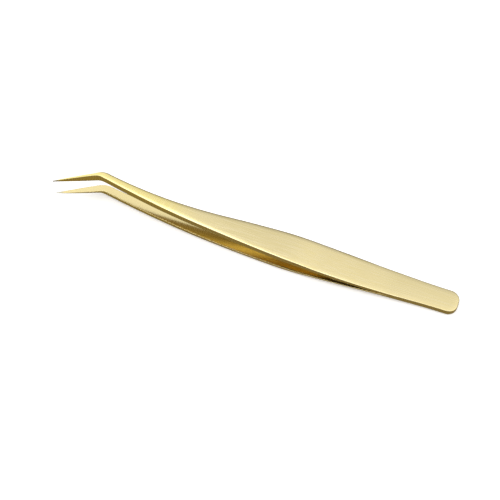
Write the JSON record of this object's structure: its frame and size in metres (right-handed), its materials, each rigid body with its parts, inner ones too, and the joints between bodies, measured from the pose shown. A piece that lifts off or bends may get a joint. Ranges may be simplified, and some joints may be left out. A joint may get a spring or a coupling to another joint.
{
  "type": "angled fine-point tweezers",
  "caption": "Slim gold spring tweezers with a wide flat grip, a narrow swept neck and fine straight tips bent to one side.",
  "frame": {"origin": "on the straight centreline of the grip, half way between the tail end and the tips, in the plane between the two arms", "axes": "+X towards the welded tail, -X towards the tips; the arms open along Z; the tips are bent towards -Y"},
  "size_m": [0.1351, 0.0102, 0.011],
  "materials": {
    "gold_steel": "satin gold coating on spring steel, with polished edges",
    "weld_metal": "bare fused steel"
  },
  "bodies": {
    "tail": {"upper_tail": "gold_steel", "lower_tail": "gold_steel", "spot_weld_rear": "weld_metal", "spot_weld_front": "weld_metal"},
    "upper": {"upper_arm": "gold_steel"},
    "lower": {"lower_arm": "gold_steel"}
  },
  "joints": [
    {"name": "upper_arm_flex", "type": "hinge", "parent": "tail", "child": "upper", "pos_m": [0.0365, 0, 0.00113], "axis": [0, -1, 0], "range_deg": [0, 1.9], "stiffness_Nm_per_rad": 1.4},
    {"name": "lower_arm_flex", "type": "hinge", "parent": "tail", "child": "lower", "pos_m": [0.0365, 0, -0.00113], "axis": [0, 1, 0], "range_deg": [0, 1.9], "stiffness_Nm_per_rad": 1.4}
  ]
}
